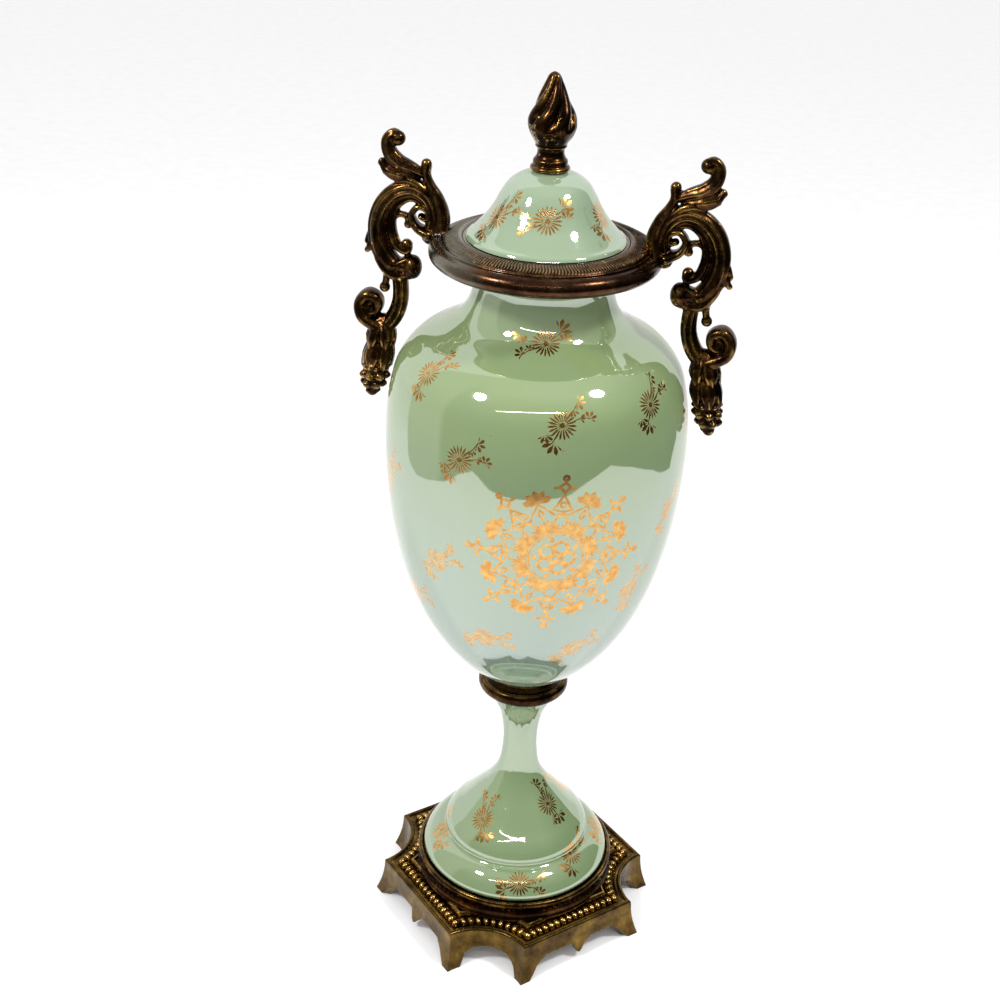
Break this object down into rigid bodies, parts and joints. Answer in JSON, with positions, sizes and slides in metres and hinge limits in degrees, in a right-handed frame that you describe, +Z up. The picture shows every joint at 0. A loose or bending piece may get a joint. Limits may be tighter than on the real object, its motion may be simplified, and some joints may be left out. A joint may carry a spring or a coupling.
{
  "type": "mantel urn",
  "caption": "Lidded urn with scrolled brass handles: an ovoid glazed porcelain body and bell foot on a square brass plinth with cove-cut corners and small feet.",
  "frame": {"origin": "centre of the box's underside, on the surface that the plinth's feet stand on", "axes": "+Z up along the urn's axis, +X towards the right-hand handle, -Y towards the gilt rosette on the front"},
  "size_m": [0.1594, 0.1296, 0.398],
  "materials": {
    "porcelain": "celadon green lustre glaze, glossy and slightly pearly, with gilt ornament",
    "brass": "cast brass with a dark brown patina, worn to gold on the high spots",
    "plinth_brass": "cast brass, dark in the hollows and yellow-gold on the sides"
  },
  "bodies": {
    "root": {"plinth": "plinth_brass", "foot": "porcelain", "collar": "brass", "body": "porcelain", "rim": "brass", "handle_left": "brass", "handle_right": "brass", "lid": "porcelain", "finial": "brass"}
  },
  "joints": []
}
